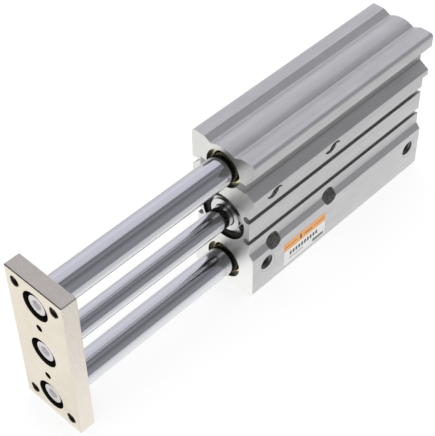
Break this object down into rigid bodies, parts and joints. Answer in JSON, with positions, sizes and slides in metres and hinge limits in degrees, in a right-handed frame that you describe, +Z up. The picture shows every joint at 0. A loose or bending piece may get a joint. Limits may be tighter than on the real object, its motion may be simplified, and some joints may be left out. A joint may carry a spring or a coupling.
{
  "type": "guided pneumatic cylinder",
  "caption": "Compact guided pneumatic cylinder, fully extended: grooved aluminium body, piston rod between two chromed guide rods, and a tooling plate on their ends.",
  "frame": {"origin": "on the surface that the part stands on, under the middle of its bounding box at rest (fully extended)", "axes": "+X along the piston axis from the tooling plate to the closed end of the body, +Z up along the row of rods, -Y out of the wide face with the air ports"},
  "size_m": [0.2566, 0.0411, 0.093],
  "materials": {
    "anodised_body": "clear anodised extrusion, satin",
    "plated_plate": "plated steel, fine ground grain",
    "chromed_rod": "hard chromed and polished",
    "bearing_brass": "turned bearing bronze",
    "bolt_steel": "bright plated steel",
    "cover_aluminium": "turned and clear anodised",
    "plain_aluminium": "turned aluminium",
    "black_steel": "black spring steel",
    "zinc_steel": "zinc plated steel",
    "seal_rubber": "black nitrile rubber",
    "bumper_rubber": "dark urethane",
    "wear_plastic": "filled bearing plastic",
    "magnet_compound": "bonded magnet",
    "label_film": "white film with an orange band"
  },
  "bodies": {
    "cylinder": {"cylinder_body": "anodised_body", "front_bush_upper": "bearing_brass", "inner_bush_upper": "bearing_brass", "front_bush_lower": "bearing_brass", "inner_bush_lower": "bearing_brass", "rod_cover": "cover_aluminium", "rod_bush": "bearing_brass", "rod_seal": "seal_rubber", "rod_cover_gasket": "seal_rubber", "head_cover": "cover_aluminium", "head_cover_gasket": "seal_rubber", "front_retaining_ring": "black_steel", "rear_retaining_ring": "black_steel", "front_port_plug": "zinc_steel", "rear_port_plug": "zinc_steel", "rating_label": "label_film"},
    "carriage": {"tooling_plate": "plated_plate", "plate_bolt_upper": "bolt_steel", "plate_bolt_middle": "bolt_steel", "plate_bolt_lower": "bolt_steel", "guide_rod_upper": "chromed_rod", "guide_rod_lower": "chromed_rod", "piston_rod": "chromed_rod", "piston": "plain_aluminium", "piston_nut": "zinc_steel", "wear_ring": "wear_plastic", "magnet_ring": "magnet_compound", "piston_seal": "seal_rubber", "front_bumper": "bumper_rubber", "rear_bumper": "bumper_rubber"}
  },
  "joints": [
    {"name": "plate_slide", "type": "slide", "parent": "cylinder", "child": "carriage", "axis": [1, 0, 0], "range_m": [0, 0.1]}
  ]
}
